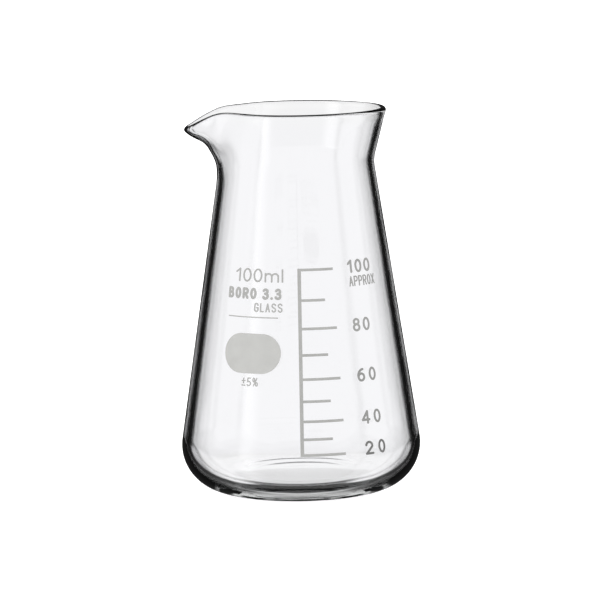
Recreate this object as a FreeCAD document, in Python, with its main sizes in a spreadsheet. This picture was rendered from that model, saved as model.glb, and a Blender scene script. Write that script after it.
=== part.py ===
import FreeCAD, Part
import math
import os

import Sketcher

# A 100 ml conical glass beaker with a pouring spout and a printed volume scale.
#
# The vessel is one blown piece of borosilicate glass: a wide round heel, walls that
# taper to a neck, and a flared mouth whose rim is drawn out into a spout. The scale,
# its numerals, the legends and the marking spot are islands of white enamel fired on
# to the outside of the wall, each a thin shell that follows the glass.
#
# Frame: millimetres, +Z up, origin on the table at the centre of the foot. The spout
# points along -X and the scale faces -Y. An azimuth is in degrees from -Y towards +X.

Vector = FreeCAD.Vector
Z_AXIS = Vector(0, 0, 1)

# Driving dimensions, in millimetres and degrees.
DIM = {
    "overall_height": 95.0,
    "body_diameter": 59.4,
    "taper_angle": 8.64,
    "heel_radius": 11.2,
    "foot_diameter": 30.0,
    "foot_blend": 10.0,
    "push_up": 0.9,
    "inner_taper_angle": 8.2,
    "inner_heel_radius": 9.0,
    "inner_heel_bottom": 3.2,
    "floor_height": 3.7,
    "neck_wall": 1.6,
    "join_height": 74.0,
    "neck_height": 81.9,
    "neck_fillet": 8.5,
    "flare_angle": 14.6,
    "lip_swell": 0.14,
    "lip_swell_height": 1.2,
    "spout_reach": 5.8,
    "spout_drop": 4.3,
    "spout_start": 76.0,
    "spout_bend_start": 85.5,
    "spout_half_angle": 17.7,
    "spout_pinch": 2.2,
    "pinch_azimuth": 42.0,
    "pinch_half_angle": 21.5,
    "enamel_thickness": 0.08,
    "film_top": 62.0,
    "film_start_angle": 40.0,
    "lowest_mark": 13.1,
    "lowest_mark_gap": 3.78,
    "mark_gap_growth": 0.505,
    "line_thickness": 0.64,
    "spine_width": 0.88,
    "spine_azimuth": 0.5,
    "major_span": 20.9,
    "minor_span": 14.9,
    "rule_height": 46.0,
    "rule_thickness": 0.25,
    "rule_azimuth": -44.0,
    "rule_span": 32.0,
    "spot_width": 15.2,
    "spot_height": 9.6,
    "spot_azimuth": -27.2,
    "spot_centre": 37.3,
}

MARKS = range(20, 101, 10)
MAJOR_STEP = 20

SKIN_COLUMNS = 144
SKIN_ROW_STEP = 1.5
LIP_ROWS = 7
SURFACE_STEP = 0.02  # mm or degrees, to find a direction in the drawn wall

# How the drawing out grows: from the neck up to the rim, and around the mouth.
SPOUT_RISE_POWER = 1.7
PINCH_RISE_POWER = 2
SPOUT_BELL_POWER = 2.5
PINCH_BELL_POWER = 2

STENCIL_START = 14.0
STENCIL_DEPTH = 22.0


def tan(name):
    return math.tan(math.radians(DIM[name]))


def cos(name):
    return math.cos(math.radians(DIM[name]))


def sin(name):
    return math.sin(math.radians(DIM[name]))


# ------------------------------------------------------------ geometry of the wall

def heel_centre():
    """Radius and height of the centre of the outside heel arc."""
    return DIM["body_diameter"] / 2 - DIM["heel_radius"], DIM["heel_radius"]


def outer_radius(height):
    """Outside radius of the tapered wall."""
    radius, centre = heel_centre()
    tangent_radius = radius + DIM["heel_radius"] * cos("taper_angle")
    tangent_height = centre + DIM["heel_radius"] * sin("taper_angle")
    return tangent_radius - (height - tangent_height) * tan("taper_angle")


def inner_radius(height):
    """Inside radius of the tapered wall."""
    top = outer_radius(DIM["join_height"]) - DIM["neck_wall"] / cos("taper_angle")
    return top + (DIM["join_height"] - height) * tan("inner_taper_angle")


def inner_heel_centre():
    """Radius and height of the centre of the inside heel arc."""
    height = DIM["inner_heel_bottom"] + DIM["inner_heel_radius"]
    return inner_radius(height) - DIM["inner_heel_radius"] / cos("inner_taper_angle"), height


def dome_radius(centre, blend, apex):
    """Radius of the dome on the axis, with this apex, that touches a blend arc."""
    fall = centre[1] - apex
    return (centre[0] ** 2 + fall ** 2 - blend ** 2) / (2 * (blend - fall))


def mark_height(mark):
    """Height of a scale line. The lines stand further apart towards the neck."""
    step = MARKS.index(mark)
    growth = DIM["mark_gap_growth"] * step * (step - 1) / 2
    return DIM["lowest_mark"] + DIM["lowest_mark_gap"] * step + growth


# ------------------------------------------------------------- document and sketches

def make_sheet(document):
    """The driving dimensions, and the heights of the scale lines they lead to."""
    for mark in MARKS:
        DIM["mark_%d" % mark] = round(mark_height(mark), 3)
    sheet = document.addObject("Spreadsheet::Sheet", "Dims")
    for row, (alias, value) in enumerate(DIM.items(), start=1):
        sheet.set("A%d" % row, alias)
        sheet.set("B%d" % row, str(value))
        sheet.setAlias("B%d" % row, alias)
    document.recompute()


def section_sketch(body, name):
    """A sketch on the body's XZ plane, where x is radius and y is height."""
    sketch = body.newObject("Sketcher::SketchObject", name)
    plane = [f for f in body.Origin.OriginFeatures if f.Role == "XZ_Plane"][0]
    sketch.AttachmentSupport = [(plane, "")]
    sketch.MapMode = "FlatFace"
    return sketch


def add_line(sketch, start, end):
    return sketch.addGeometry(Part.LineSegment(Vector(*start, 0), Vector(*end, 0)))


def add_arc(sketch, centre, radius, start, end):
    """An arc from one angle to another, in degrees, anticlockwise."""
    circle = Part.Circle(Vector(*centre, 0), Z_AXIS, radius)
    return sketch.addGeometry(Part.ArcOfCircle(circle, math.radians(start), math.radians(end)))


def dimension(sketch, kind, *operands, name, formula):
    """Add a dimensional constraint and bind it to the spreadsheet."""
    index = sketch.addConstraint(Sketcher.Constraint(kind, *operands))
    sketch.renameConstraint(index, name)
    sketch.setExpression("Constraints." + name, formula)


def constrain(sketch, *rows):
    for row in rows:
        sketch.addConstraint(Sketcher.Constraint(*row))


def require_solved(sketch):
    if sketch.solve() != 0 or not sketch.FullyConstrained:
        raise RuntimeError(sketch.Name + " is not fully constrained")


def revolve(document, body, sketch, name):
    """Turn a closed half-section round the body's Z axis."""
    revolution = body.newObject("PartDesign::Revolution", name)
    revolution.Profile = sketch
    revolution.ReferenceAxis = (sketch, ["V_Axis"])
    revolution.Angle = 360.0
    document.recompute()


START, END, CENTRE = 1, 2, 3
ORIGIN = (-1, 1)
H_AXIS, V_AXIS = -1, -2


def meeting_angle(centre, dome):
    """Direction from the dome's centre, below on the axis, to a blend's centre."""
    return math.degrees(math.atan2(centre[1] - dome, centre[0]))


def make_bowl(document):
    """The turned part of the vessel: foot, heel and tapered wall, up to the join."""
    body = document.addObject("PartDesign::Body", "Bowl")
    sketch = section_sketch(body, "BowlSection")

    blend_centre = (DIM["foot_diameter"] / 2, DIM["foot_blend"])
    under = dome_radius(blend_centre, DIM["foot_blend"], DIM["push_up"])
    under_angle = meeting_angle(blend_centre, DIM["push_up"] - under)
    heel = heel_centre()
    top = DIM["join_height"]
    outer_top = (outer_radius(top), top)
    inner_top = (inner_radius(top), top)
    heel_end = (heel[0] + DIM["heel_radius"] * cos("taper_angle"),
                heel[1] + DIM["heel_radius"] * sin("taper_angle"))
    inner = inner_heel_centre()
    inner_end = (inner[0] + DIM["inner_heel_radius"] * cos("inner_taper_angle"),
                 inner[1] + DIM["inner_heel_radius"] * sin("inner_taper_angle"))
    floor = dome_radius(inner, DIM["inner_heel_radius"], DIM["floor_height"])
    floor_angle = meeting_angle(inner, DIM["floor_height"] - floor)

    push_up = add_arc(sketch, (0, DIM["push_up"] - under), under, under_angle, 90)
    blend = add_arc(sketch, blend_centre, DIM["foot_blend"], under_angle - 180, -90)
    foot = add_line(sketch, (blend_centre[0], 0), (heel[0], 0))
    outer_heel = add_arc(sketch, heel, DIM["heel_radius"], -90, DIM["taper_angle"])
    outer_wall = add_line(sketch, heel_end, outer_top)
    rim = add_line(sketch, outer_top, inner_top)
    inner_wall = add_line(sketch, inner_end, inner_top)
    inner_heel = add_arc(sketch, inner, DIM["inner_heel_radius"], floor_angle - 180,
                         DIM["inner_taper_angle"])
    dome = add_arc(sketch, (0, DIM["floor_height"] - floor), floor, floor_angle, 90)
    axis = add_line(sketch, (0, DIM["floor_height"]), (0, DIM["push_up"]))

    constrain(
        sketch,
        ("PointOnObject", push_up, CENTRE, V_AXIS),
        ("PointOnObject", push_up, END, V_AXIS),
        ("Tangent", push_up, START, blend, START),
        ("Tangent", blend, END, foot, START),
        ("PointOnObject", foot, START, H_AXIS),
        ("Horizontal", foot),
        ("Tangent", foot, END, outer_heel, START),
        ("Tangent", outer_heel, END, outer_wall, START),
        ("Coincident", outer_wall, END, rim, START),
        ("Horizontal", rim),
        ("Coincident", rim, END, inner_wall, END),
        ("Tangent", inner_wall, START, inner_heel, END),
        ("Tangent", inner_heel, START, dome, START),
        ("PointOnObject", dome, CENTRE, V_AXIS),
        ("PointOnObject", dome, END, V_AXIS),
        ("Coincident", dome, END, axis, START),
        ("Coincident", axis, END, push_up, END),
    )
    dimension(sketch, "DistanceY", *ORIGIN, push_up, END, DIM["push_up"],
              name="push_up", formula="Dims.push_up")
    dimension(sketch, "Radius", blend, DIM["foot_blend"],
              name="foot_blend", formula="Dims.foot_blend")
    dimension(sketch, "DistanceX", *ORIGIN, foot, START, blend_centre[0],
              name="foot_radius", formula="Dims.foot_diameter / 2")
    dimension(sketch, "Radius", outer_heel, DIM["heel_radius"],
              name="heel_radius", formula="Dims.heel_radius")
    dimension(sketch, "DistanceX", *ORIGIN, outer_heel, CENTRE, heel[0],
              name="heel_centre", formula="Dims.body_diameter / 2 - Dims.heel_radius")
    dimension(sketch, "Angle", outer_wall, math.radians(90 + DIM["taper_angle"]),
              name="taper", formula="90 + Dims.taper_angle")
    dimension(sketch, "DistanceY", *ORIGIN, outer_wall, END, top,
              name="join_height", formula="Dims.join_height")
    dimension(sketch, "Distance", rim, outer_top[0] - inner_top[0],
              name="neck_wall", formula="Dims.neck_wall / cos(Dims.taper_angle)")
    dimension(sketch, "Angle", inner_wall, math.radians(90 + DIM["inner_taper_angle"]),
              name="inner_taper", formula="90 + Dims.inner_taper_angle")
    dimension(sketch, "Radius", inner_heel, DIM["inner_heel_radius"],
              name="inner_heel_radius", formula="Dims.inner_heel_radius")
    dimension(sketch, "DistanceY", *ORIGIN, inner_heel, CENTRE, inner[1],
              name="inner_heel_height",
              formula="Dims.inner_heel_bottom + Dims.inner_heel_radius")
    dimension(sketch, "DistanceY", *ORIGIN, dome, END, DIM["floor_height"],
              name="floor_height", formula="Dims.floor_height")
    document.recompute()
    require_solved(sketch)
    revolve(document, body, sketch, "BowlTurned")
    return body


def make_film(document):
    """A shell of enamel all round the printed zone, for the stencils to pick from."""
    body = document.addObject("PartDesign::Body", "Film")
    sketch = section_sketch(body, "FilmSection")
    heel = heel_centre()
    top = DIM["film_top"]
    low = -DIM["film_start_angle"]
    skin = DIM["enamel_thickness"]

    def on_heel(offset, angle):
        reach = DIM["heel_radius"] + offset
        turn = math.radians(angle)
        return heel[0] + reach * math.cos(turn), heel[1] + reach * math.sin(turn)

    def face_lines(offset):
        """The heel arc and the wall line of one face of the film."""
        arc = add_arc(sketch, heel, DIM["heel_radius"] + offset, low, DIM["taper_angle"])
        edge = (outer_radius(top) + offset / cos("taper_angle"), top)
        line = add_line(sketch, on_heel(offset, DIM["taper_angle"]), edge)
        return arc, line, edge

    inner_arc, inner_line, inner_edge = face_lines(0.0)
    outer_arc, outer_line, outer_edge = face_lines(skin)
    upper = add_line(sketch, inner_edge, outer_edge)
    lower = add_line(sketch, on_heel(0.0, low), on_heel(skin, low))

    constrain(
        sketch,
        ("Coincident", inner_arc, CENTRE, outer_arc, CENTRE),
        ("Tangent", inner_arc, END, inner_line, START),
        ("Tangent", outer_arc, END, outer_line, START),
        ("Parallel", inner_line, outer_line),
        ("Coincident", inner_line, END, upper, START),
        ("Coincident", outer_line, END, upper, END),
        ("Horizontal", upper),
        ("Coincident", inner_arc, START, lower, START),
        ("Coincident", outer_arc, START, lower, END),
        ("PointOnObject", inner_arc, CENTRE, lower),
    )
    dimension(sketch, "Radius", inner_arc, DIM["heel_radius"],
              name="heel_radius", formula="Dims.heel_radius")
    dimension(sketch, "Radius", outer_arc, DIM["heel_radius"] + skin,
              name="outer_radius", formula="Dims.heel_radius + Dims.enamel_thickness")
    dimension(sketch, "DistanceX", *ORIGIN, inner_arc, CENTRE, heel[0],
              name="heel_centre", formula="Dims.body_diameter / 2 - Dims.heel_radius")
    dimension(sketch, "DistanceY", *ORIGIN, inner_arc, CENTRE, heel[1],
              name="heel_height", formula="Dims.heel_radius")
    dimension(sketch, "Angle", inner_line, math.radians(90 + DIM["taper_angle"]),
              name="taper", formula="90 + Dims.taper_angle")
    dimension(sketch, "DistanceY", *ORIGIN, inner_line, END, top,
              name="film_top", formula="Dims.film_top")
    dimension(sketch, "Angle", lower, math.radians(low),
              name="film_start", formula="-Dims.film_start_angle")
    document.recompute()
    require_solved(sketch)
    revolve(document, body, sketch, "FilmTurned")
    return body


# ------------------------------------------------------------------- the drawn mouth

def middle_profile():
    """The mid-wall line of the mouth as a function of the distance along it.

    It runs straight up the taper, bends round the neck and runs straight up the
    flare. The function gives radius, height, direction from vertical (positive
    inwards) and half the wall. The end of the line is its second result.
    """
    taper = math.radians((DIM["taper_angle"] + DIM["inner_taper_angle"]) / 2)
    flare = math.radians(DIM["flare_angle"])
    thinning = math.tan(math.radians(DIM["taper_angle"] - DIM["inner_taper_angle"]) / 2)
    foot = DIM["join_height"]
    weight = cos("taper_angle") + cos("inner_taper_angle")
    foot_radius = (outer_radius(foot) * cos("taper_angle")
                   + inner_radius(foot) * cos("inner_taper_angle")) / weight
    foot_half = (outer_radius(foot) - foot_radius) * cos("taper_angle")

    bend = DIM["neck_fillet"] + foot_half
    trim = bend * math.tan((taper + flare) / 2)
    first = (DIM["neck_height"] - foot) / math.cos(taper) - trim
    turn = bend * (taper + flare)

    corner = foot_radius - (DIM["neck_height"] - foot) * math.tan(taper)
    bend_start = (corner + trim * math.sin(taper), DIM["neck_height"] - trim * math.cos(taper))
    bend_centre = (bend_start[0] + bend * math.cos(taper), bend_start[1] + bend * math.sin(taper))
    bend_end = (corner + trim * math.sin(flare), DIM["neck_height"] + trim * math.cos(flare))

    def half_wall(along):
        return foot_half - thinning * along

    def point(along):
        half = half_wall(along)
        if along <= first:
            radius = foot_radius - along * math.sin(taper)
            return radius, foot + along * math.cos(taper), taper, half
        if along <= first + turn:
            lean = taper - (along - first) / bend
            radius = bend_centre[0] - bend * math.cos(lean)
            return radius, bend_centre[1] - bend * math.sin(lean), lean, half
        beyond = along - first - turn
        radius = bend_end[0] + beyond * math.sin(flare)
        return radius, bend_end[1] + beyond * math.cos(flare), -flare, half

    lip_half = half_wall(first + turn) + DIM["lip_swell"] / 2
    rise = DIM["overall_height"] - lip_half - bend_end[1]
    return point, first + turn + rise / math.cos(flare)


def bell(angle, half_width, power):
    """A hump that is 1 at angle 0 and falls away beyond its half width."""
    return math.exp(-abs(angle / half_width) ** power)


def smooth_step(value):
    value = min(1.0, max(0.0, value))
    return value * value * (3 - 2 * value)


def drawn_point(radius, height, angle):
    """Where drawing out the spout moves a mid-wall point.

    The angle is measured from the spout. The wall under the spout moves outwards
    from the neck up, and bends down towards its tip; beside it the rim is pinched in.
    """
    top = DIM["overall_height"]
    rise = max(0.0, (height - DIM["spout_start"]) / (top - DIM["spout_start"]))
    bend = smooth_step((height - DIM["spout_bend_start"]) / (top - DIM["spout_bend_start"]))
    spout = bell(angle, DIM["spout_half_angle"], SPOUT_BELL_POWER)
    from_pinch = abs(angle) - DIM["pinch_azimuth"]
    beside = bell(from_pinch, DIM["pinch_half_angle"], PINCH_BELL_POWER)
    radius += DIM["spout_reach"] * rise ** SPOUT_RISE_POWER * spout
    radius -= DIM["spout_pinch"] * rise ** PINCH_RISE_POWER * beside
    height -= DIM["spout_drop"] * bend * spout
    turn = math.radians(180.0 + angle)
    return Vector(radius * math.cos(turn), radius * math.sin(turn), height)


def control_gain(step):
    """How far out a smooth curve's control points stand, for a circle in equal steps."""
    return 3.0 / (2.0 + math.cos(step))


def mouth_column(angle, profile, length):
    """Control points up the outside of the mouth, over the lip and down the inside."""
    def surface(along, at_angle):
        radius, height = profile(along)[:2]
        return drawn_point(radius, height, at_angle)

    def frame(along):
        """Mid-wall point, outward normal and upward direction in the wall."""
        step = SURFACE_STEP
        around = surface(along, angle + step) - surface(along, angle - step)
        up = surface(along + step, angle) - surface(along - step, angle)
        normal = around.cross(up)
        rim = around.normalize()
        normal.normalize()
        return surface(along, angle), normal, normal.cross(rim)

    def half_wall(along):
        swell = (length - along) / DIM["lip_swell_height"]
        return profile(along)[3] + DIM["lip_swell"] / 2 * math.exp(-swell ** 2)

    rows = round(length / SKIN_ROW_STEP)
    steps = [length * (i + 1) / rows for i in range(rows - 1)]
    foot = DIM["join_height"]
    turn = math.radians(180.0 + angle)
    around = Vector(math.cos(turn), math.sin(turn), 0)

    outside = []
    inside = []
    for along in steps:
        point, normal, _ = frame(along)
        outside.append(point + normal * half_wall(along))
        inside.append(point - normal * half_wall(along))
    point, normal, up = frame(length)
    half = half_wall(length) * control_gain(math.pi / (LIP_ROWS - 1))
    lip = []
    for i in range(LIP_ROWS):
        sweep = math.pi * i / (LIP_ROWS - 1)
        lip.append(point + normal * (half * math.cos(sweep)) + up * (half * math.sin(sweep)))
    start = [around * outer_radius(foot) + Z_AXIS * foot]
    finish = [around * inner_radius(foot) + Z_AXIS * foot]
    return start + outside + lip + inside[::-1] + finish


def make_mouth(document):
    """The neck, flare, rim and spout: one smooth skin over the lip, closed by a ring."""
    profile, length = middle_profile()
    gain = control_gain(2 * math.pi / SKIN_COLUMNS)
    columns = []
    for i in range(SKIN_COLUMNS):
        angle = 360.0 * i / SKIN_COLUMNS - 180.0
        column = mouth_column(angle, profile, length)
        columns.append([Vector(p.x * gain, p.y * gain, p.z) for p in column])
    row_count = len(columns[0])
    skin = Part.BSplineSurface()
    skin.buildFromPolesMultsKnots(
        columns,
        [1] * (SKIN_COLUMNS + 1),
        [4] + [1] * (row_count - 4) + [4],
        [float(i) for i in range(SKIN_COLUMNS + 1)],
        [float(i) for i in range(row_count - 2)],
        True, False, 3, 3,
    )
    skin_face = skin.toShape()
    rings = [e for e in skin_face.Edges if abs(e.BoundBox.ZLength) < 0.01]
    rings.sort(key=lambda e: -e.BoundBox.XLength)
    base = Part.Face([Part.Wire([ring]) for ring in rings])
    shell = Part.makeShell([skin_face, base])
    shell.sewShape()
    mouth = document.addObject("Part::Feature", "Mouth")
    mouth.Shape = Part.makeSolid(shell)
    return mouth


def make_vessel(document, bowl, mouth):
    """The whole piece of glass."""
    vessel = document.addObject("Part::Fuse", "Vessel")
    vessel.Base = bowl
    vessel.Tool = mouth
    vessel.Label = "glass_vessel"
    return vessel


# -------------------------------------------------------------- stencils of the print

def print_placement(azimuth, height):
    """A frame with x along the print, y up and z outwards, at the stencil's start."""
    turn = math.radians(azimuth)
    along = Vector(math.cos(turn), math.sin(turn), 0)
    outward = Vector(math.sin(turn), -math.cos(turn), 0)
    rotation = FreeCAD.Rotation(along, Z_AXIS, outward, "ZXY")
    return FreeCAD.Placement(outward * STENCIL_START + Z_AXIS * height, rotation)


def make_sector(document, name, height, thickness, azimuth, span):
    """A flat sector whose edge, at the wall, is a line of the print."""
    sector = document.addObject("Part::Cylinder", name)
    sector.Radius = STENCIL_START + STENCIL_DEPTH
    sector.setExpression("Height", thickness)
    sector.setExpression("Angle", span)
    sector.setExpression("Placement.Base.z", "%s - %s / 2" % (height, thickness))
    sector.setExpression("Placement.Rotation.Yaw", "%s - 90" % azimuth)
    return sector


def ladder_stencil(document):
    """The upright line of the scale and a line to its right for every mark."""
    spine = document.addObject("Part::Box", "Spine")
    spine.setExpression("Length", "Dims.spine_width")
    spine.Width = STENCIL_DEPTH
    first = "Dims.mark_%d" % MARKS[0]
    last = "Dims.mark_%d" % MARKS[-1]
    spine.setExpression("Height", "%s - %s + Dims.line_thickness" % (last, first))
    spine.setExpression("Placement.Base.x", "-Dims.spine_width / 2")
    spine.Placement.Base.y = -STENCIL_START - STENCIL_DEPTH
    spine.setExpression("Placement.Base.z", first + " - Dims.line_thickness / 2")
    pieces = [spine]
    for mark in MARKS:
        span = "major_span" if mark % MAJOR_STEP == 0 else "minor_span"
        line = make_sector(document, "Line%d" % mark, "Dims.mark_%d" % mark,
                           "Dims.line_thickness", "0", "Dims." + span)
        pieces.append(line)
    ladder = document.addObject("Part::MultiFuse", "LadderStencil")
    ladder.Shapes = pieces
    ladder.setExpression("Placement.Rotation.Yaw", "Dims.spine_azimuth")
    return ladder


def spot_stencil(document):
    """The obround spot that takes a pencil mark."""
    body = document.addObject("PartDesign::Body", "SpotStencil")
    sketch = body.newObject("Sketcher::SketchObject", "SpotOutline")
    plane = [f for f in body.Origin.OriginFeatures if f.Role == "XY_Plane"][0]
    sketch.AttachmentSupport = [(plane, "")]
    sketch.MapMode = "FlatFace"
    end_radius = DIM["spot_height"] / 2
    reach = DIM["spot_width"] / 2 - end_radius
    left = add_arc(sketch, (-reach, 0), end_radius, 90, 270)
    right = add_arc(sketch, (reach, 0), end_radius, -90, 90)
    lower = add_line(sketch, (-reach, -end_radius), (reach, -end_radius))
    upper = add_line(sketch, (reach, end_radius), (-reach, end_radius))
    constrain(
        sketch,
        ("Tangent", left, END, lower, START),
        ("Tangent", lower, END, right, START),
        ("Tangent", right, END, upper, START),
        ("Tangent", upper, END, left, START),
        ("Equal", left, right),
        ("PointOnObject", left, CENTRE, H_AXIS),
        ("Symmetric", left, CENTRE, right, CENTRE, *ORIGIN),
    )
    dimension(sketch, "Radius", left, end_radius,
              name="end_radius", formula="Dims.spot_height / 2")
    dimension(sketch, "DistanceX", *ORIGIN, right, CENTRE, reach,
              name="reach", formula="Dims.spot_width / 2 - Dims.spot_height / 2")
    document.recompute()
    require_solved(sketch)
    pad = body.newObject("PartDesign::Pad", "SpotPad")
    pad.Profile = sketch
    pad.Length = STENCIL_DEPTH
    body.Placement = print_placement(DIM["spot_azimuth"], DIM["spot_centre"])
    return body


def rule_stencil(document):
    """A thin line under the legends."""
    return make_sector(document, "RuleStencil", "Dims.rule_height", "Dims.rule_thickness",
                       "Dims.rule_azimuth", "Dims.rule_span")


# Every character is drawn with strokes in a box one wide and one high. A stroke runs
# through its points in straight lines; a point with a third entry is passed on the way
# round an arc. A ring is an ellipse: centre x and y, then half its width and height.
VIA = "via"
RING = "ring"
GLYPHS = {
    "0": (1.0, [(RING, 0.5, 0.5, 0.5, 0.5)]),
    "1": (0.7, [[(0.0, 0.73), (0.85, 1.0), (0.85, 0.0)]]),
    "2": (1.12, [[(0.02, 0.74), (0.5, 1.0, VIA), (0.93, 0.6), (0.0, 0.0), (1.0, 0.0)]]),
    "3": (1.0, [[(0.08, 0.86), (0.93, 0.76, VIA), (0.42, 0.53)],
                [(0.42, 0.53), (1.0, 0.26, VIA), (0.0, 0.14)]]),
    "4": (1.15, [[(0.74, 0.0), (0.74, 1.0), (0.0, 0.27), (1.0, 0.27)]]),
    "5": (1.0, [[(0.9, 1.0), (0.14, 1.0), (0.06, 0.5), (1.0, 0.33, VIA), (0.0, 0.1)]]),
    "6": (1.0, [(RING, 0.5, 0.31, 0.5, 0.31),
                [(0.0, 0.31), (0.2, 0.8, VIA), (0.82, 1.0)]]),
    "8": (1.0, [(RING, 0.5, 0.77, 0.43, 0.23), (RING, 0.5, 0.27, 0.5, 0.27)]),
    "A": (1.0, [[(0.0, 0.0), (0.5, 1.0), (1.0, 0.0)], [(0.17, 0.34), (0.83, 0.34)]]),
    "B": (1.0, [[(0.5, 0.53), (0.0, 0.53), (0.0, 1.0), (0.5, 1.0), (0.86, 0.765, VIA),
                 (0.5, 0.53), (0.6, 0.53), (1.0, 0.265, VIA), (0.6, 0.0), (0.0, 0.0),
                 (0.0, 0.53)]]),
    "G": (1.0, [[(0.97, 0.8), (0.5, 1.0, VIA), (0.0, 0.72), (0.0, 0.28), (0.5, 0.0, VIA),
                 (1.0, 0.28), (1.0, 0.46), (0.55, 0.46)]]),
    "L": (0.85, [[(0.0, 1.0), (0.0, 0.0), (1.0, 0.0)]]),
    "O": (1.0, [(RING, 0.5, 0.5, 0.5, 0.5)]),
    "P": (1.0, [[(0.0, 0.0), (0.0, 1.0), (0.6, 1.0), (1.0, 0.74, VIA), (0.6, 0.48),
                 (0.0, 0.48)]]),
    "R": (1.0, [[(0.0, 0.0), (0.0, 1.0), (0.6, 1.0), (1.0, 0.74, VIA), (0.6, 0.48),
                 (0.0, 0.48)], [(0.5, 0.48), (1.0, 0.0)]]),
    "S": (1.0, [[(0.95, 0.83), (0.5, 1.0, VIA), (0.0, 0.76), (0.15, 0.6, VIA), (0.5, 0.5),
                 (0.85, 0.4, VIA), (1.0, 0.24), (0.5, 0.0, VIA), (0.05, 0.17)]]),
    "X": (1.0, [[(0.0, 0.0), (1.0, 1.0)], [(0.0, 1.0), (1.0, 0.0)]]),
    "m": (1.55, [[(0.0, 0.0), (0.0, 0.66)],
                 [(0.0, 0.42), (0.25, 0.66, VIA), (0.5, 0.42), (0.5, 0.0)],
                 [(0.5, 0.42), (0.75, 0.66, VIA), (1.0, 0.42), (1.0, 0.0)]]),
    "l": (0.2, [[(0.5, 0.0), (0.5, 1.0)]]),
    ".": (0.3, [[(0.5, 0.0), (0.5, 0.02)]]),
    "%": (1.3, [(RING, 0.2, 0.77, 0.2, 0.23), (RING, 0.8, 0.23, 0.2, 0.23),
                [(0.85, 1.0), (0.15, 0.0)]]),
    "+-": (1.0, [[(0.5, 0.95), (0.5, 0.3)], [(0.05, 0.62), (0.95, 0.62)],
                 [(0.05, 0.02), (0.95, 0.02)]]),
}

# The printed words: node, characters, azimuth and height of the centre, height and
# width of a full character, gap between characters, width of the pen.
WORDS = [
    ("numeral_100", ["1", "0", "0"], 40.4, 57.7, 3.25, 2.13, 0.72, 0.55),
    ("numeral_80", ["8", "0"], 37.4, 43.6, 3.25, 2.15, 0.86, 0.55),
    ("numeral_60", ["6", "0"], 37.4, 31.5, 3.25, 2.17, 1.25, 0.55),
    ("numeral_40", ["4", "0"], 37.4, 21.3, 3.3, 2.17, 1.15, 0.55),
    ("numeral_20", ["2", "0"], 38.0, 13.9, 3.3, 2.2, 1.5, 0.55),
    ("approx_legend", list("APPROX"), 42.0, 54.1, 2.5, 1.18, 0.24, 0.3),
    ("capacity_legend", list("100ml"), -25.0, 56.1, 3.3, 2.36, 0.58, 0.42),
    ("material_legend", ["B", "O", "R", "O", " ", "3", ".", "3"],
     -27.8, 51.7, 2.75, 1.74, 0.44, 0.64),
    ("glass_legend", list("GLASS"), -18.0, 48.4, 2.2, 1.2, 0.36, 0.33),
    ("tolerance_legend", ["+-", "5", "%"], -27.1, 30.5, 2.1, 1.15, 0.34, 0.28),
]
SPACE_WIDTH = 0.35


def ellipse_face(centre, across, up):
    tips = [Vector(across, 0, 0), Vector(0, up, 0)]
    tips.sort(key=lambda tip: -tip.Length)
    ellipse = Part.Ellipse(centre + tips[0], centre + tips[1], centre)
    return Part.Face(Part.Wire([ellipse.toShape()]))


def joined_face(*edges):
    return Part.Face(Part.Wire([edge.toShape() for edge in edges]))


def line_face(start, end, half):
    """A straight piece of a stroke, with round ends."""
    along = (end - start).normalize() * half
    side = Z_AXIS.cross(along)
    return joined_face(
        Part.LineSegment(start - side, end - side),
        Part.Arc(end - side, end + along, end + side),
        Part.LineSegment(end + side, start + side),
        Part.Arc(start + side, start - along, start - side),
    )


def arc_face(start, via, end, half):
    """A piece of a stroke round an arc, with round ends."""
    edge = Part.Arc(start, via, end).toShape()
    centre = edge.Curve.Center
    radius = edge.Curve.Radius
    first = edge.tangentAt(edge.FirstParameter) * half
    last = edge.tangentAt(edge.LastParameter) * half

    def at_offset(point, offset):
        return centre + (point - centre) * ((radius + offset) / radius)

    outer = [at_offset(point, half) for point in (start, via, end)]
    inner = [at_offset(point, -half) for point in (start, via, end)]
    return joined_face(
        Part.Arc(*outer),
        Part.Arc(outer[2], end + last, inner[2]),
        Part.Arc(*inner[::-1]),
        Part.Arc(inner[0], start - first, outer[0]),
    )


def stroke_faces(stroke, size, pen):
    """The flat shapes that the pen leaves along one stroke."""
    def place(x, y):
        return Vector((x - 0.5) * size[0], y * size[1], 0)

    half = pen / 2
    if stroke[0] == RING:
        centre = place(stroke[1], stroke[2])
        across, up = stroke[3] * size[0], stroke[4] * size[1]
        hole = ellipse_face(centre, across - half, up - half)
        return [ellipse_face(centre, across + half, up + half).cut(hole)]
    faces = []
    last = place(*stroke[0])
    via = None
    for point in stroke[1:]:
        here = place(*point[:2])
        if point[-1] == VIA:
            via = here
            continue
        faces.append(arc_face(last, via, here, half) if via else line_face(last, here, half))
        last = here
        via = None
    return faces


def glyph_prism(character, size, pen):
    """A character as one prism along +Z, standing on the origin."""
    prisms = []
    for stroke in GLYPHS[character][1]:
        for face in stroke_faces(stroke, size, pen):
            prisms.append(face.extrude(Z_AXIS * STENCIL_DEPTH))
    if len(prisms) == 1:
        return prisms[0]
    return prisms[0].fuse(prisms[1:]).removeSplitter()


def word_width(characters, width, gap):
    widths = [width * (SPACE_WIDTH if c == " " else GLYPHS[c][0]) for c in characters]
    return widths, sum(widths) + gap * (len(widths) - 1)


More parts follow.
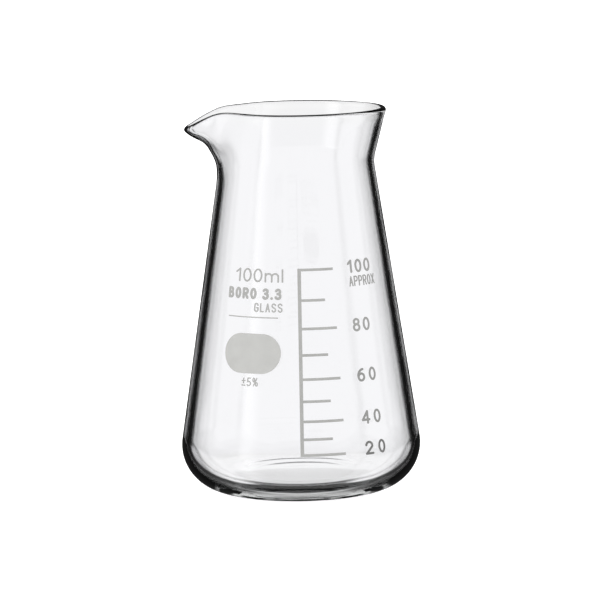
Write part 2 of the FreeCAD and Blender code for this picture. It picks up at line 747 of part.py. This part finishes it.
def word_stencil(document, name, characters, azimuth, centre, height, width, gap, pen):
    """The characters of a word, each set square to the wall where it stands."""
    widths, total = word_width(characters, width, gap)
    wall = outer_radius(centre)
    cursor = -total / 2
    prisms = []
    for character, own_width in zip(characters, widths):
        middle = cursor + own_width / 2
        cursor += own_width + gap
        if character == " ":
            continue
        size = (max(own_width - pen, 0.001), height - pen)
        glyph = glyph_prism(character, size, pen)
        turn = azimuth + math.degrees(middle / wall)
        glyph.Placement = print_placement(turn, centre - size[1] / 2)
        prisms.append(glyph)
    stencil = document.addObject("Part::Feature", name.title().replace("_", "") + "Stencil")
    stencil.Shape = Part.makeCompound(prisms)
    return stencil


def make_print(document, film, stencil, label):
    """An island of enamel: what the stencil lets through of the film."""
    island = document.addObject("Part::Common", "Print" + label.title().replace("_", ""))
    island.Base = film
    island.Tool = stencil
    island.Label = label
    return island


# -------------------------------------------------------------------------- the part

def check(document, nodes):
    """Stop if anything in the document failed or a sub-part is not sound."""
    failed = [o.Name for o in document.Objects if {"Invalid", "Error"} & set(o.State)]
    for node in nodes:
        if node.Shape.isNull() or not node.Shape.isValid() or not node.Shape.Solids:
            failed.append(node.Label)
    if failed:
        raise RuntimeError("failed: " + ", ".join(failed))


def main():
    os.makedirs("parts", exist_ok=True)
    document = FreeCAD.newDocument("beaker")
    make_sheet(document)
    film = make_film(document)
    nodes = [make_vessel(document, make_bowl(document), make_mouth(document))]
    nodes.append(make_print(document, film, ladder_stencil(document), "graduation_ladder"))
    nodes.append(make_print(document, film, spot_stencil(document), "marking_spot"))
    nodes.append(make_print(document, film, rule_stencil(document), "legend_rule"))
    for word in WORDS:
        nodes.append(make_print(document, film, word_stencil(document, *word), word[0]))
    document.recompute()
    check(document, nodes)
    for node in nodes:
        node.Shape.exportStep("parts/%s.step" % node.Label)
        print(node.Label, len(node.Shape.Solids), "solids", round(node.Shape.Volume, 3))


main()
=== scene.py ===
import math

import bpy
from mathutils import Matrix, Vector


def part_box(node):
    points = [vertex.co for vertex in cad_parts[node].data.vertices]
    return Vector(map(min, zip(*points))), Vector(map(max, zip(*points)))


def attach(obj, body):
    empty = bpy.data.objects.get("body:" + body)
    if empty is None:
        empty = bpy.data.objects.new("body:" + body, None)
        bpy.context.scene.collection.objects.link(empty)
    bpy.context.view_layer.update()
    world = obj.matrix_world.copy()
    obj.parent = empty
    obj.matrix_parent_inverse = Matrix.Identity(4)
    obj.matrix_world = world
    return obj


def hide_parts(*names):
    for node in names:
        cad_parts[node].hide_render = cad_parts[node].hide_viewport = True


# A conical glass beaker: one blown piece of borosilicate glass with a drawn spout, and a
# scale printed on it in pale fired enamel. The glass is rebuilt here as one closed mesh;
# the enamel islands are the frame's own.
#
# Lengths are in millimetres until a mesh is made. +Z is up, the spout points along -X
# and the scale faces -Y.

MM = 0.001

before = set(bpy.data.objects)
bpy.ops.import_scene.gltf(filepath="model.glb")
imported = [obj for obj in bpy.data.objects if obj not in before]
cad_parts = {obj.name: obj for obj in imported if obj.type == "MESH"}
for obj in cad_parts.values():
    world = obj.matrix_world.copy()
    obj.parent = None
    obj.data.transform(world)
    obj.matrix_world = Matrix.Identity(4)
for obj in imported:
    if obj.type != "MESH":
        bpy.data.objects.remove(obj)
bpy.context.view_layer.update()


# ---------------------------------------------------------------- sizes of the glass

BODY_RADIUS = 29.7
TAPER = math.radians(8.64)
HEEL = 11.2
FOOT_RADIUS = 15.0
FOOT_BLEND = 10.0
PUSH_UP = 0.9
INNER_TAPER = math.radians(8.2)
INNER_HEEL = 9.0
INNER_HEEL_BOTTOM = 3.2
FLOOR = 3.7
NECK_WALL = 1.6
JOIN = 74.0
NECK = 81.9
NECK_FILLET = 8.5
FLARE = math.radians(14.6)
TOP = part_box("glass_vessel")[1].z / MM
LIP_SWELL = 0.14
LIP_SWELL_HEIGHT = 1.2
SPOUT_REACH = 5.8
SPOUT_DROP = 4.3
SPOUT_START = 76.0
SPOUT_BEND_START = 85.5
SPOUT_HALF_ANGLE = 17.7
SPOUT_PINCH = 2.2
PINCH_AZIMUTH = 42.0
PINCH_HALF_ANGLE = 21.5

# How the drawing out grows: from the neck up to the rim, and around the mouth.
SPOUT_RISE_POWER = 1.7
PINCH_RISE_POWER = 2
SPOUT_BELL_POWER = 2.5
PINCH_BELL_POWER = 2
SURFACE_STEP = 0.02  # mm or degrees, to find a direction in the drawn wall

# How finely the mesh follows the glass.
COLUMNS = 288
PUSH_UP_STEPS = 12
BLEND_STEPS = 6
FOOT_STEPS = 3
HEEL_STEPS = 44
WALL_STEPS = 24
INNER_HEEL_STEPS = 40
FLOOR_STEPS = 16
LIP_STEPS = 12
MOUTH_ROW_HEIGHT = 0.36

# Two marks on the mesh's points that the glass material reads to paint shade on the
# outline of the glass, and the heights between which they fade. LIP_EDGE is what is left
# of the first at the rim.
OUTLINE_SHADE = "outline_shade"
EDGE_FADE_BELOW = (1.0, 3.6)
EDGE_FADE_ABOVE = (90.5, 93.0)
LIP_EDGE = 0.45
HEAVY = "heavy"
HEAVY_HEEL = (6.0, 15.0)
HEAVY_SPOUT = (81.5, 86.5)
HEAVY_SPOUT_ANGLE = 48.0
HEAVY_BELL_POWER = 2


# --------------------------------------------------------------- outline of the bowl

def arc(centre, radius, start, end, steps):
    """Points round an arc, from one angle to another in degrees, both ends included."""
    points = []
    for i in range(steps + 1):
        angle = math.radians(start + (end - start) * i / steps)
        across, up = radius * math.cos(angle), radius * math.sin(angle)
        points.append((centre[0] + across, centre[1] + up))
    return points


def line(start, end, steps):
    """Points along a straight line, without its ends."""
    shares = [(i + 1) / (steps + 1) for i in range(steps)]
    return [tuple(a + (b - a) * share for a, b in zip(start, end)) for share in shares]


def outer_radius(height):
    """Outside radius of the tapered wall."""
    tangent_radius = BODY_RADIUS - HEEL + HEEL * math.cos(TAPER)
    tangent_height = HEEL + HEEL * math.sin(TAPER)
    return tangent_radius - (height - tangent_height) * math.tan(TAPER)


def inner_radius(height):
    """Inside radius of the tapered wall."""
    top = outer_radius(JOIN) - NECK_WALL / math.cos(TAPER)
    return top + (JOIN - height) * math.tan(INNER_TAPER)


def dome(centre, blend, apex):
    """Radius, and the angle where it ends, of a dome that touches a blend arc."""
    fall = centre[1] - apex
    radius = (centre[0] ** 2 + fall ** 2 - blend ** 2) / (2 * (blend - fall))
    return radius, math.degrees(math.atan2(centre[1] - apex + radius, centre[0]))


def bowl_outside():
    """From the middle of the push-up, round the foot and heel, up to the join."""
    blend_centre = (FOOT_RADIUS, FOOT_BLEND)
    radius, end = dome(blend_centre, FOOT_BLEND, PUSH_UP)
    heel_centre = (BODY_RADIUS - HEEL, HEEL)
    points = arc((0, PUSH_UP - radius), radius, 90, end, PUSH_UP_STEPS)[1:]
    points += arc(blend_centre, FOOT_BLEND, end - 180, -90, BLEND_STEPS)[1:]
    points += line(points[-1], (heel_centre[0], 0), FOOT_STEPS)
    points += arc(heel_centre, HEEL, -90, math.degrees(TAPER), HEEL_STEPS)
    return points + line(points[-1], (outer_radius(JOIN), JOIN), WALL_STEPS)


def bowl_inside():
    """From the join down the inside, round the heel, to the middle of the floor."""
    height = INNER_HEEL_BOTTOM + INNER_HEEL
    centre = (inner_radius(height) - INNER_HEEL / math.cos(INNER_TAPER), height)
    radius, end = dome(centre, INNER_HEEL, FLOOR)
    heel = arc(centre, INNER_HEEL, math.degrees(INNER_TAPER), end - 180, INNER_HEEL_STEPS)
    wall = line((inner_radius(JOIN), JOIN), heel[0], WALL_STEPS)
    floor = arc((0, FLOOR - radius), radius, end, 90, FLOOR_STEPS)
    return wall + heel + floor[1:-1]


# --------------------------------------------------------------------- drawn mouth

def middle_profile():
    """The mid-wall line of the mouth: up the taper, round the neck and up the flare.

    Gives a function from the distance along the line to radius, height and half the
    wall, and the length of the line.
    """
    taper = (TAPER + INNER_TAPER) / 2
    thinning = math.tan((TAPER - INNER_TAPER) / 2)
    weights = (math.cos(TAPER), math.cos(INNER_TAPER))
    radii = (outer_radius(JOIN), inner_radius(JOIN))
    foot = sum(w * r for w, r in zip(weights, radii)) / sum(weights)
    foot_half = (radii[0] - foot) * weights[0]

    bend = NECK_FILLET + foot_half
    trim = bend * math.tan((taper + FLARE) / 2)
    first = (NECK - JOIN) / math.cos(taper) - trim
    turn = bend * (taper + FLARE)
    corner = foot - (NECK - JOIN) * math.tan(taper)
    start = (corner + trim * math.sin(taper), NECK - trim * math.cos(taper))
    centre = (start[0] + bend * math.cos(taper), start[1] + bend * math.sin(taper))
    end = (corner + trim * math.sin(FLARE), NECK + trim * math.cos(FLARE))

    def point(along):
        half = foot_half - thinning * along
        if along <= first:
            return foot - along * math.sin(taper), JOIN + along * math.cos(taper), half
        if along <= first + turn:
            lean = taper - (along - first) / bend
            radius = centre[0] - bend * math.cos(lean)
            return radius, centre[1] - bend * math.sin(lean), half
        beyond = along - first - turn
        return end[0] + beyond * math.sin(FLARE), end[1] + beyond * math.cos(FLARE), half

    lip_half = foot_half - thinning * (first + turn) + LIP_SWELL / 2
    return point, first + turn + (TOP - lip_half - end[1]) / math.cos(FLARE)


def bell(angle, half_width, power):
    """A hump that is 1 at angle 0 and falls away beyond its half width."""
    return math.exp(-abs(angle / half_width) ** power)


def smooth_step(value):
    """0 up to 0, 1 from 1, and smooth between them."""
    value = min(1.0, max(0.0, value))
    return value * value * (3 - 2 * value)


def rise_between(value, low, high):
    """0 below one value, 1 above another, and smooth between them."""
    return smooth_step((value - low) / (high - low))


def drawn_point(radius, height, angle):
    """Where drawing out the spout moves a mid-wall point; the angle is from the spout."""
    rise = max(0.0, (height - SPOUT_START) / (TOP - SPOUT_START))
    bend = smooth_step((height - SPOUT_BEND_START) / (TOP - SPOUT_BEND_START))
    spout = bell(angle, SPOUT_HALF_ANGLE, SPOUT_BELL_POWER)
    beside = bell(abs(angle) - PINCH_AZIMUTH, PINCH_HALF_ANGLE, PINCH_BELL_POWER)
    radius += SPOUT_REACH * rise ** SPOUT_RISE_POWER * spout
    radius -= SPOUT_PINCH * rise ** PINCH_RISE_POWER * beside
    height -= SPOUT_DROP * bend * spout
    turn = math.radians(180.0 + angle)
    return Vector((radius * math.cos(turn), radius * math.sin(turn), height))


def mouth_column(angle, profile, length, rows):
    """Points up the outside of the mouth, over the round lip and down the inside."""
    def surface(along, at_angle):
        radius, height, _ = profile(along)
        return drawn_point(radius, height, at_angle)

    def across_wall(along):
        """Mid-wall point, outward normal and upward direction in the wall."""
        step = SURFACE_STEP
        around = surface(along, angle + step) - surface(along, angle - step)
        up = surface(along + step, angle) - surface(along - step, angle)
        normal = around.cross(up).normalized()
        return surface(along, angle), normal, normal.cross(around).normalized()

    def half_wall(along):
        swell = (length - along) / LIP_SWELL_HEIGHT
        return profile(along)[2] + LIP_SWELL / 2 * math.exp(-swell ** 2)

    outside, inside = [], []
    for i in range(rows):
        along = length * i / rows
        point, normal, _ = across_wall(along)
        outside.append(point + normal * half_wall(along))
        inside.append(point - normal * half_wall(along))
    point, normal, up = across_wall(length)
    half = half_wall(length)
    lip = []
    for i in range(LIP_STEPS + 1):
        sweep = math.pi * i / LIP_STEPS
        lip.append(point + (normal * math.cos(sweep) + up * math.sin(sweep)) * half)
    return outside + lip + inside[::-1]


# ------------------------------------------------------------------------- meshes

def new_object(name, vertices, faces, material):
    """A smooth-shaded object from points in millimetres."""
    mesh = bpy.data.meshes.new(name)
    mesh.from_pydata([tuple(c * MM for c in v) for v in vertices], [], faces)
    mesh.shade_smooth()
    mesh.materials.append(material)
    piece = bpy.data.objects.new(name, mesh)
    bpy.context.scene.collection.objects.link(piece)
    return piece


def vessel_mesh():
    """Vertices and faces of the glass: rings of quads, closed at the axis by two fans.

    The third list is the weight of the painted shade on the outline of the glass: 1 on
    the outside of the wall, less at the foot and the rim, 0 inside.
    The fourth says how heavy or how sharply bent the glass is: 1 at the heel and along
    the keel of the spout, where the painted shade starts sooner.
    """
    below, above = bowl_outside(), bowl_inside()
    profile, length = middle_profile()
    mouth_rows = round(length / MOUTH_ROW_HEIGHT)
    vertices, columns, outline_shade, heavy = [], [], [], []
    outer_count = len(below) + mouth_rows + LIP_STEPS // 2
    for i in range(COLUMNS):
        angle = 360.0 * (i + 0.5) / COLUMNS - 180.0
        turn = math.radians(180.0 + angle)
        across, along = math.cos(turn), math.sin(turn)
        column = [(r * across, r * along, z) for r, z in below]
        column += [tuple(p) for p in mouth_column(angle, profile, length, mouth_rows)]
        column += [(r * across, r * along, z) for r, z in above]
        columns.append(range(len(vertices), len(vertices) + len(column)))
        vertices += column
        # How strongly the painted outline shade is laid on, and where it is broader.
        keel = bell(angle, HEAVY_SPOUT_ANGLE, HEAVY_BELL_POWER)
        rim_loss = (1.0 - LIP_EDGE) * (1.0 - keel)
        for _, _, height in column[:outer_count]:
            loss = rim_loss * rise_between(height, *EDGE_FADE_ABOVE)
            outline_shade.append(rise_between(height, *EDGE_FADE_BELOW) - loss)
        outline_shade += [0.0] * (len(column) - outer_count)
        for _, _, height in column:
            spout = keel * rise_between(height, *HEAVY_SPOUT)
            heavy.append(max(1.0 - rise_between(height, *HEAVY_HEEL), spout))
    under, over = len(vertices), len(vertices) + 1
    vertices += [(0, 0, PUSH_UP), (0, 0, FLOOR)]
    outline_shade += [0.0, 0.0]
    heavy += [1.0, 1.0]
    faces = []
    for i, here in enumerate(columns):
        there = columns[(i + 1) % COLUMNS]
        faces.append((under, there[0], here[0]))
        faces.append((over, here[-1], there[-1]))
        for a, b, c, d in zip(here, there, there[1:], here[1:]):
            faces.append((a, b, c, d))
    return vertices, faces, outline_shade, heavy


# ---------------------------------------------------------------------- materials

WHITE = (1.0, 1.0, 1.0, 1.0)


def node_tree(owner):
    """The empty node tree of a material or a world."""
    owner.use_nodes = True
    tree = owner.node_tree
    tree.nodes.clear()
    return tree


def add_node(tree, kind, inputs=None, **settings):
    """A node with its settings and inputs: an input takes a value or another socket."""
    node = tree.nodes.new(kind)
    for key, value in settings.items():
        setattr(node, key, value)
    for key, value in (inputs or {}).items():
        if isinstance(value, bpy.types.NodeSocket):
            tree.links.new(value, node.inputs[key])
        else:
            node.inputs[key].default_value = value
    return node


def math_node(tree, operation, *values, clamp=False):
    """The output of a Math node."""
    node = add_node(tree, "ShaderNodeMath", dict(enumerate(values)),
                    operation=operation, use_clamp=clamp)
    return node.outputs[0]


def noise(tree, scale, detail=3.0):
    """Noise in the object's own coordinates, at a scale in features per metre."""
    place = add_node(tree, "ShaderNodeTexCoord")
    texture = add_node(tree, "ShaderNodeTexNoise",
                       {"Vector": place.outputs["Object"], "Scale": scale, "Detail": detail})
    return texture.outputs["Fac"]


def remap(tree, value, low, high, start=0.0, end=1.0, shape="LINEAR"):
    """The value's span from low to high, stretched to the span from start to end."""
    node = add_node(tree, "ShaderNodeMapRange",
                    {"Value": value, "From Min": low, "From Max": high,
                     "To Min": start, "To Max": end}, interpolation_type=shape)
    return node.outputs["Result"]


def blend_colours(tree, share, first, second):
    """A node that goes from one colour to another."""
    mix = add_node(tree, "ShaderNodeMix", {"Factor": share, "A": first, "B": second},
                   data_type="RGBA")
    return mix.outputs["Result"]


def set_stops(ramp, stops):
    """Give a colour ramp its stops, each a place and a faintly blue grey."""
    while len(ramp.elements) < len(stops):
        ramp.elements.new(0.5)
    for element, (place, grey) in zip(ramp.elements, stops):
        element.position = place
        element.color = (grey, grey, grey * 1.02, 1.0)


# Painted shade on the outline of the glass, in its base colour, with a painted light
# streak near the outline: a place from 0, where the wall is seen square on, to 1 at the
# outline, and how much light the painted tone lets through there.
PAINTED_OUTLINE_SHADE = [(0.44, 0.98), (0.52, 0.82), (0.575, 0.65), (0.61, 0.06), (0.65, 0.008),
              (0.70, 0.008), (0.76, 0.12), (0.84, 0.24), (0.96, 0.12)]
# The same painted shade in the heavy glass of the heel and the spout, where it starts sooner.
HEAVY_PAINTED_OUTLINE_SHADE = [(0.32, 0.98), (0.40, 0.80), (0.455, 0.60), (0.49, 0.04), (0.53, 0.006),
               (0.72, 0.006), (0.80, 0.03), (0.90, 0.10), (0.97, 0.05)]


def glass_material():
    """Clear blown borosilicate glass, with painted shade darkening its outline through its
    base colour.
    """
    material = bpy.data.materials.new("borosilicate_glass")
    tree = node_tree(material)
    waves = noise(tree, 90.0, 1.0)
    bump = add_node(tree, "ShaderNodeBump",
                    {"Strength": 0.12, "Distance": 0.0004, "Height": waves})
    haze = remap(tree, noise(tree, 400.0, 4.0), 0.55, 0.8, 0.0, 0.012)
    glancing = add_node(tree, "ShaderNodeLayerWeight", {"Blend": 0.5})
    outside = add_node(tree, "ShaderNodeAttribute", attribute_name=OUTLINE_SHADE)
    heavy = add_node(tree, "ShaderNodeAttribute", attribute_name=HEAVY)
    # Painted shade: the base colour goes dark where the glass is seen glancing, as far as the
    # outline mark reaches; the heavy mark picks the broader painted shade.
    colour = {}
    for name, stops in ((OUTLINE_SHADE, PAINTED_OUTLINE_SHADE), (HEAVY, HEAVY_PAINTED_OUTLINE_SHADE)):
        tone = add_node(tree, "ShaderNodeValToRGB", {"Fac": glancing.outputs["Facing"]})
        set_stops(tone.color_ramp, stops)
        colour[name] = tone.outputs["Color"]
    wall = blend_colours(tree, heavy.outputs["Fac"], colour[OUTLINE_SHADE], colour[HEAVY])
    clear = blend_colours(tree, outside.outputs["Fac"], WHITE, wall)
    shader = add_node(tree, "ShaderNodeBsdfPrincipled", {
        "Base Color": clear,
        "Roughness": haze,
        "IOR": 1.473,
        "Transmission Weight": 1.0,
        "Normal": bump.outputs["Normal"],
    })
    tint = add_node(tree, "ShaderNodeVolumeAbsorption",
                    {"Color": (0.86, 0.93, 0.92, 1.0), "Density": 3.0})
    output = add_node(tree, "ShaderNodeOutputMaterial")
    tree.links.new(shader.outputs["BSDF"], output.inputs["Surface"])
    tree.links.new(tint.outputs["Volume"], output.inputs["Volume"])
    return material


# How much blue the print's grey has, beside its red and green.
ENAMEL_BLUE = 0.97


def enamel_material(name, thin, thick):
    """Pale screen-printed enamel, matt, with the grain of the fired ink.

    Its grey wanders between that of a thin and a thick coat; the greys it is given are
    painted shade, far below the white of the enamel.
    """
    material = bpy.data.materials.new(name)
    tree = node_tree(material)
    cloud = remap(tree, noise(tree, 260.0), 0.3, 0.7)
    greys = [(grey, grey, grey * ENAMEL_BLUE, 1.0) for grey in (thin, thick)]
    colour = blend_colours(tree, cloud, *greys)
    grain = noise(tree, 5200.0, 2.0)
    bump = add_node(tree, "ShaderNodeBump",
                    {"Strength": 0.35, "Distance": 0.00004, "Height": grain})
    shader = add_node(tree, "ShaderNodeBsdfPrincipled", {
        "Base Color": colour,
        "Roughness": remap(tree, grain, 0.3, 0.7, 0.5, 0.68),
        "Normal": bump.outputs["Normal"],
    })
    output = add_node(tree, "ShaderNodeOutputMaterial")
    tree.links.new(shader.outputs["BSDF"], output.inputs["Surface"])
    return material


def floor_material():
    """White paper that glows a little, so that only the closest shadow is left on it."""
    material = bpy.data.materials.new("white_floor")
    tree = node_tree(material)
    shade = remap(tree, noise(tree, 3.0), 0.3, 0.7, 0.90, 0.92)
    shader = add_node(tree, "ShaderNodeBsdfPrincipled",
                      {"Base Color": shade, "Roughness": 0.9, "Specular IOR Level": 0.0,
                       "Emission Color": WHITE, "Emission Strength": 0.55})
    output = add_node(tree, "ShaderNodeOutputMaterial")
    tree.links.new(shader.outputs["BSDF"], output.inputs["Surface"])
    return material


# --------------------------------------------------------------------- the object

def make_glass():
    """The glass vessel, with the marks on its points that its material reads to paint shade
    on its outline.
    """
    vertices, faces, outline_shade, heavy = vessel_mesh()
    glass = new_object("beaker_glass", vertices, faces, glass_material())
    for name, values in ((OUTLINE_SHADE, outline_shade), (HEAVY, heavy)):
        glass.data.attributes.new(name, "FLOAT", "POINT").data.foreach_set("value", values)
    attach(glass, "root")
    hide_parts("glass_vessel")


# The print isn't one even grey: each coat's name, its grey where it is thin and thick, and
# the islands it is on. All these greys are painted shade, far below the white of the
# enamel, in shaded copies for groups of islands: the spot is palest, and the numerals are
# painted darker towards the foot.
PLAIN_PRINT_COAT_AND_SHADE = ("enamel_print", 0.255, 0.28)
PRINT_COATS_AND_SHADES = {
    ("enamel_spot", 0.33, 0.355): ["marking_spot"],
    ("enamel_upper_shaded", 0.205, 0.225): ["numeral_100", "approx_legend", "numeral_80"],
    ("enamel_middle_shaded", 0.17, 0.19): ["numeral_60", "numeral_40"],
    ("enamel_lower_shaded", 0.095, 0.11): ["numeral_20"],
}


def finish_print():
    """Give every enamel island its coat and its painted shade."""
    plain = enamel_material(*PLAIN_PRINT_COAT_AND_SHADE)
    special = {}
    for coat, names in PRINT_COATS_AND_SHADES.items():
        material = enamel_material(*coat)
        for name in names:
            special[name] = material
    for name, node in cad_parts.items():
        if name != "glass_vessel":
            node.data.materials.clear()
            node.data.materials.append(special.get(name, plain))


# ---------------------------------------------------------------------- the studio

FLOOR_HALF_SIDE = 4.0  # m
FLOOR_DROP = 0.00005  # m, so that the foot and the floor don't share a plane


def make_floor():
    """The floor, which the glass neither shows nor mirrors: it has the backdrops instead."""
    side = FLOOR_HALF_SIDE
    mesh = bpy.data.meshes.new("floor")
    corners = [(-side, -side, 0), (side, -side, 0), (side, side, 0), (-side, side, 0)]
    mesh.from_pydata(corners, [], [(0, 1, 2, 3)])
    mesh.materials.append(floor_material())
    floor = bpy.data.objects.new("floor", mesh)
    floor.location.z = -FLOOR_DROP
    floor.visible_transmission = False
    floor.visible_glossy = False
    bpy.context.scene.collection.objects.link(floor)


# The bright backdrops seen through the glass, all round it: the azimuth of the middle, from
# +Y towards +X, half the width, and the lowest and highest elevation, in degrees. The gaps
# between them are dark, so that the edges of the glass draw.
BACKDROPS = [(0, 19, -36, 20), (48, 17, -60, -17), (90, 19, -50, 22), (180, 64, -45, 60),
             (-90, 19, -50, 22), (-48, 17, -60, -17)]
BACKDROP_EDGES = (7.0, 9.0)
BACKDROP_LIGHT = 0.93
SURROUNDINGS_LIGHT = 0.012

# What the outside of the glass mirrors: a tall soft box and a broad, dimmer front light, in
# the same measures, in a nearly dark room.
SOFT_BOX = (-124, 9, -50, 60)
SOFT_BOX_EDGES = (16.0, 30.0)
SOFT_BOX_LIGHT = 1.9
FRONT_LIGHT = (180, 112, -55, 18)
FRONT_EDGES = (60.0, 12.0)
FRONT_STRENGTH = 1.4
MIRRORED_ROOM_LIGHT = 0.03
ROOM_LIGHT = 1.5


def panel(tree, azimuth, elevation, shape, edges):
    """1 for the directions of a panel of light, falling to 0 across its soft edges."""
    middle, half_width, lowest, highest = shape
    turned = math_node(tree, "SUBTRACT", azimuth, middle)
    aside = math_node(tree, "ABSOLUTE", math_node(tree, "WRAP", turned, 180.0, -180.0))

    def soft_edge(value, limit, width, start, end):
        half = width / 2
        return remap(tree, value, limit - half, limit + half, start, end, "SMOOTHSTEP")

    across = soft_edge(aside, half_width, edges[0], 1.0, 0.0)
    below = soft_edge(elevation, lowest, edges[1], 0.0, 1.0)
    above = soft_edge(elevation, highest, edges[1], 1.0, 0.0)
    return math_node(tree, "MULTIPLY", across, math_node(tree, "MULTIPLY", below, above))


def make_world():
    """Even white light for the room, and what the glass shows through it and mirrors.

    What is matt gets the room's light from every side, through the glass too.
    """
    world = bpy.data.worlds.new("studio")
    bpy.context.scene.world = world
    tree = node_tree(world)
    place = add_node(tree, "ShaderNodeTexCoord")
    axes = add_node(tree, "ShaderNodeSeparateXYZ", {"Vector": place.outputs["Generated"]})
    x, y, z = (axes.outputs[i] for i in range(3))
    azimuth = math_node(tree, "DEGREES", math_node(tree, "ARCTAN2", x, y))
    elevation = math_node(tree, "DEGREES", math_node(tree, "ARCSINE", z))

    lit = None
    for shape in BACKDROPS:
        share = panel(tree, azimuth, elevation, shape, BACKDROP_EDGES)
        lit = share if lit is None else math_node(tree, "MAXIMUM", lit, share)
    through = remap(tree, lit, 0.0, 1.0, SURROUNDINGS_LIGHT, BACKDROP_LIGHT)
    box = panel(tree, azimuth, elevation, SOFT_BOX, SOFT_BOX_EDGES)
    front = panel(tree, azimuth, elevation, FRONT_LIGHT, FRONT_EDGES)
    box = remap(tree, box, 0.0, 1.0, MIRRORED_ROOM_LIGHT, SOFT_BOX_LIGHT)
    mirrored = math_node(tree, "ADD", box, math_node(tree, "MULTIPLY", front, FRONT_STRENGTH))

    rays = add_node(tree, "ShaderNodeLightPath")
    strength = ROOM_LIGHT
    matt = math_node(tree, "GREATER_THAN", rays.outputs["Diffuse Depth"], 0.5)
    steps = ((rays.outputs["Is Glossy Ray"], mirrored),
             (rays.outputs["Is Transmission Ray"], through), (matt, ROOM_LIGHT))
    for share, seen in steps:
        mix = add_node(tree, "ShaderNodeMix", {"Factor": share, "A": strength, "B": seen})
        strength = mix.outputs["Result"]
    light = add_node(tree, "ShaderNodeBackground",
                     {"Color": WHITE, "Strength": strength})
    output = add_node(tree, "ShaderNodeOutputWorld")
    tree.links.new(light.outputs["Background"], output.inputs["Surface"])


CAMERA_PLACE = (0, -0.950, 0.17842)  # m
CAMERA_DOWN = 7.875
CAMERA_YAW = -0.0185
CAMERA_ROLL = -0.95
SENSOR_WIDTH = 36.0
FOCAL_LENGTH = 231.97


def make_camera():
    """The camera looks along +Y and a little down."""
    data = bpy.data.cameras.new("camera")
    data.sensor_width = SENSOR_WIDTH
    data.lens = FOCAL_LENGTH
    camera = bpy.data.objects.new("camera", data)
    pitch = Matrix.Rotation(math.radians(90 - CAMERA_DOWN), 4, "X")
    yaw = Matrix.Rotation(math.radians(CAMERA_YAW), 4, "Z")
    roll = Matrix.Rotation(math.radians(CAMERA_ROLL), 4, "Z")
    camera.matrix_world = Matrix.Translation(CAMERA_PLACE) @ yaw @ pitch @ roll
    bpy.context.scene.collection.objects.link(camera)
    bpy.context.scene.camera = camera


def set_look():
    """Plain colours, and enough bounces for light to cross all the walls of the glass."""
    scene = bpy.context.scene
    scene.view_settings.view_transform = "Standard"
    scene.cycles.max_bounces = 24
    scene.cycles.transmission_bounces = 24
    scene.cycles.glossy_bounces = 12


make_camera()
make_world()
make_floor()
make_glass()
finish_print()
set_look()
